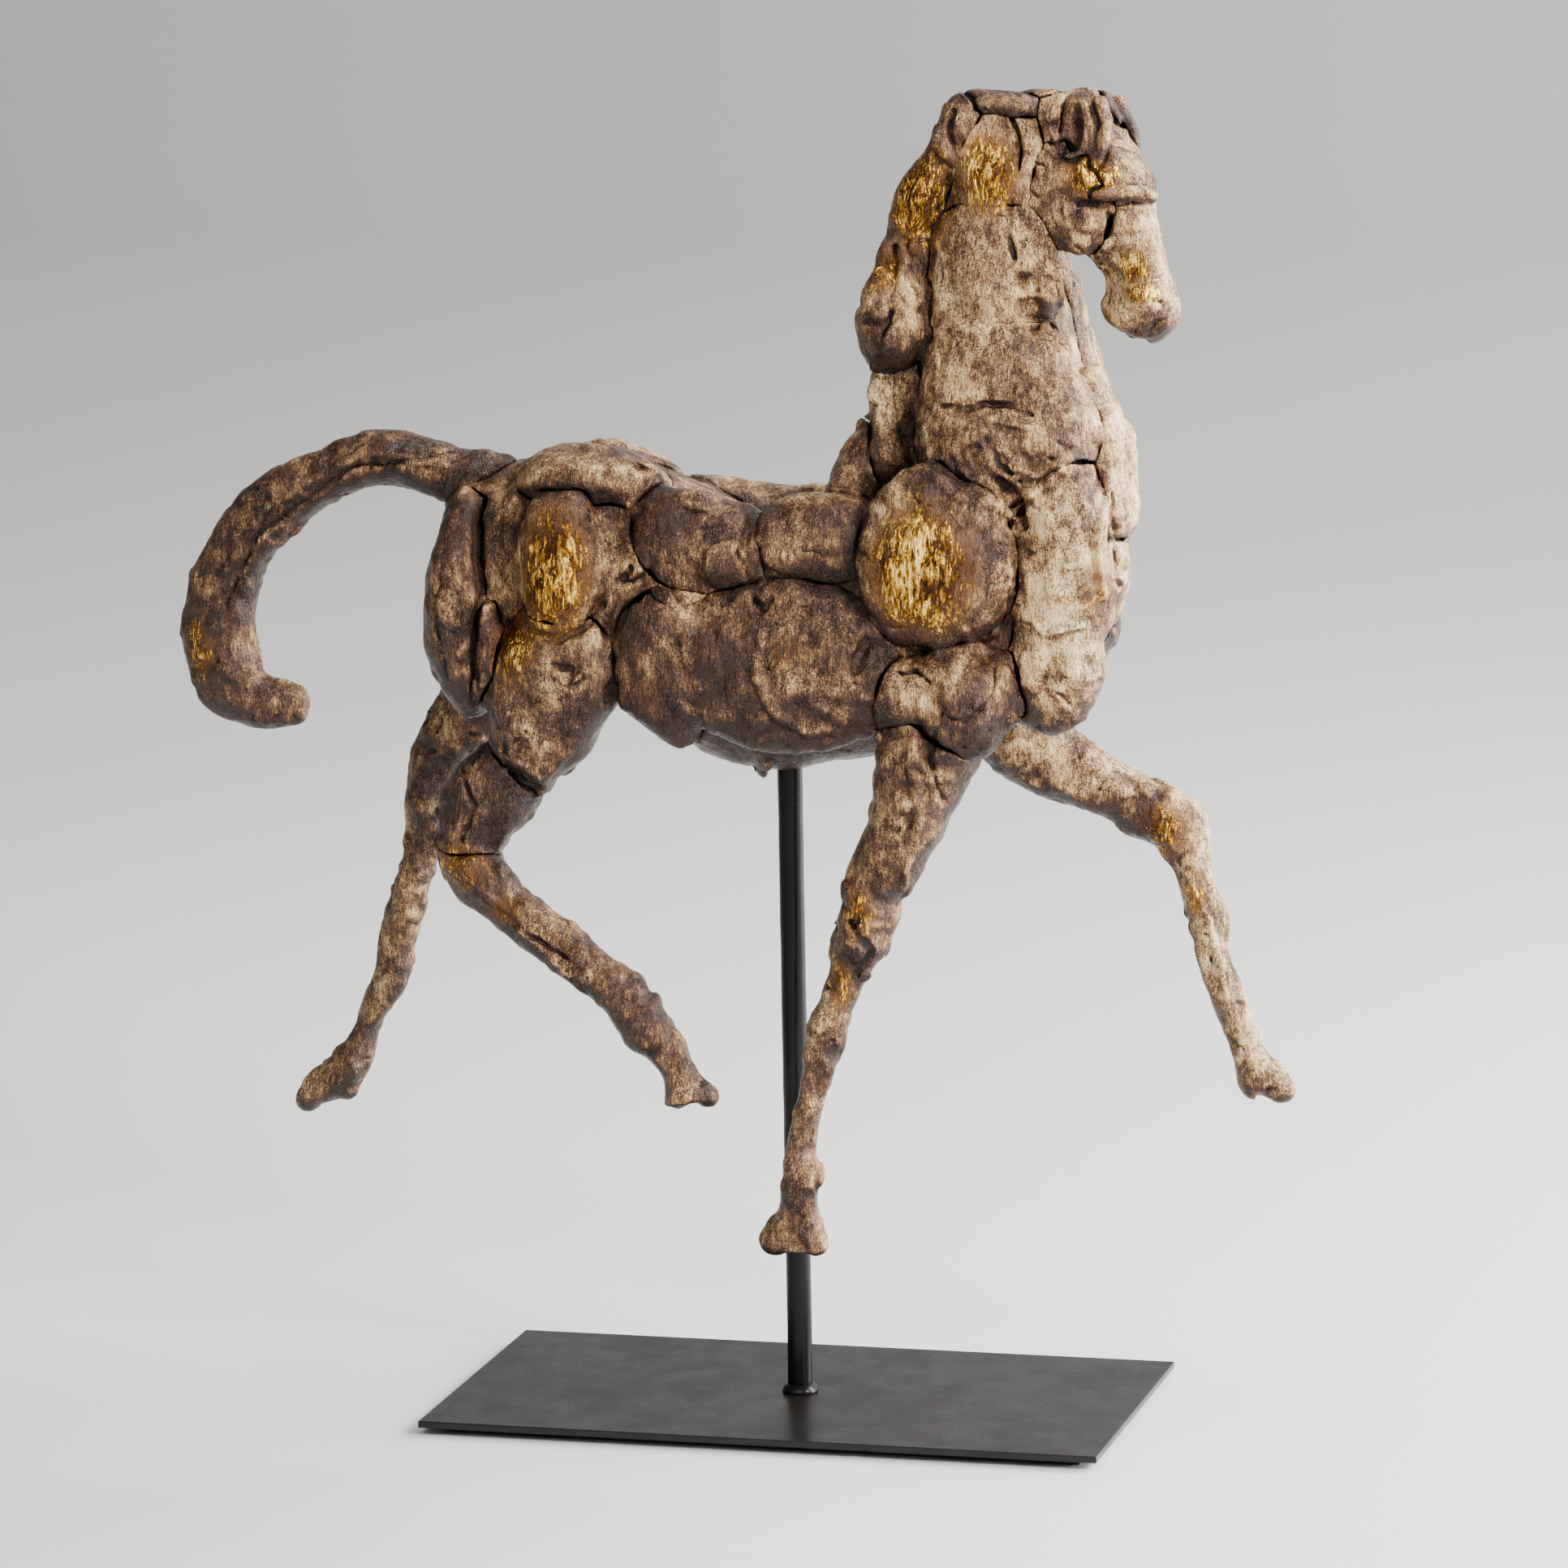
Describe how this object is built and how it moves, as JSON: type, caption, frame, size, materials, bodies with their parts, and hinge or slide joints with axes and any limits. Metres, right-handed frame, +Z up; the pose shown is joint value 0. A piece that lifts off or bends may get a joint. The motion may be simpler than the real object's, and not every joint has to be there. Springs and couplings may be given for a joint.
{
  "type": "horse statue",
  "caption": "Trotting horse statue built up from rough slabs in an aged bronze finish with gold-leaf patches, held by a post above a flat black plate.",
  "frame": {"origin": "middle of the underside of the pad that the statue stands on, straight below the post", "axes": "+Z up along the post, +X the way the horse faces, -Y towards the horse's right-hand, gold-patched side that faces the viewer"},
  "size_m": [0.4053, 0.135, 0.4829],
  "materials": {
    "bronze_patina": "cold-cast bronze: matt clay-tan body, brown and plum patina brushed over raised edges, near-black in the gaps, worn patches of gold leaf",
    "black_paint": "satin black paint on steel",
    "grey_felt": "thin dark felt",
    "steel": "plain drawn steel bar, hidden inside"
  },
  "bodies": {
    "root": {"base_pad": "grey_felt", "base_plate": "black_paint", "belly_slab": "bronze_patina", "belly_socket": "steel", "body_dowels": "steel", "breast_slab": "bronze_patina", "brow_slab": "bronze_patina", "buttock_slab": "bronze_patina", "buttock_sliver": "bronze_patina", "cheek_slab": "bronze_patina", "chest_strips": "bronze_patina", "chin": "bronze_patina", "crest_slab": "bronze_patina", "croup_slab": "bronze_patina", "elbow_slab": "bronze_patina", "far_belly_slab": "bronze_patina", "far_cheek_slab": "bronze_patina", "far_croup_slab": "bronze_patina", "far_ear": "bronze_patina", "far_flank_slab": "bronze_patina", "far_fore_arm": "bronze_patina", "far_fore_cannon": "bronze_patina", "far_haunch_slab": "bronze_patina", "far_hind_cannon": "bronze_patina", "far_hind_gaskin": "bronze_patina", "far_loin_slab": "bronze_patina", "far_neck_slab": "bronze_patina", "far_shoulder_slab": "bronze_patina", "flank_slab": "bronze_patina", "haunch_slab": "bronze_patina", "hip_dowels": "steel", "loin_front_slab": "bronze_patina", "loin_rear_slab": "bronze_patina", "lower_breast_slab": "bronze_patina", "mane_bump": "bronze_patina", "mane_gold_lock": "bronze_patina", "mane_strand": "bronze_patina", "mane_teardrop": "bronze_patina", "mane_upper_lock": "bronze_patina", "muzzle": "bronze_patina", "nasal_slab": "bronze_patina", "near_ear": "bronze_patina", "near_fore_arm": "bronze_patina", "near_fore_cannon": "bronze_patina", "near_hind_cannon": "bronze_patina", "near_hind_gaskin": "bronze_patina", "neck_base_slab": "bronze_patina", "neck_core": "bronze_patina", "neck_slab": "bronze_patina", "poll_lock": "bronze_patina", "post": "black_paint", "post_weld": "black_paint", "shin_dowels": "steel", "shoulder_slab": "bronze_patina", "skull": "bronze_patina", "tail": "bronze_patina", "tail_tip": "bronze_patina", "thigh_slab": "bronze_patina", "torso_core": "bronze_patina", "withers_lock": "bronze_patina"}
  },
  "joints": []
}
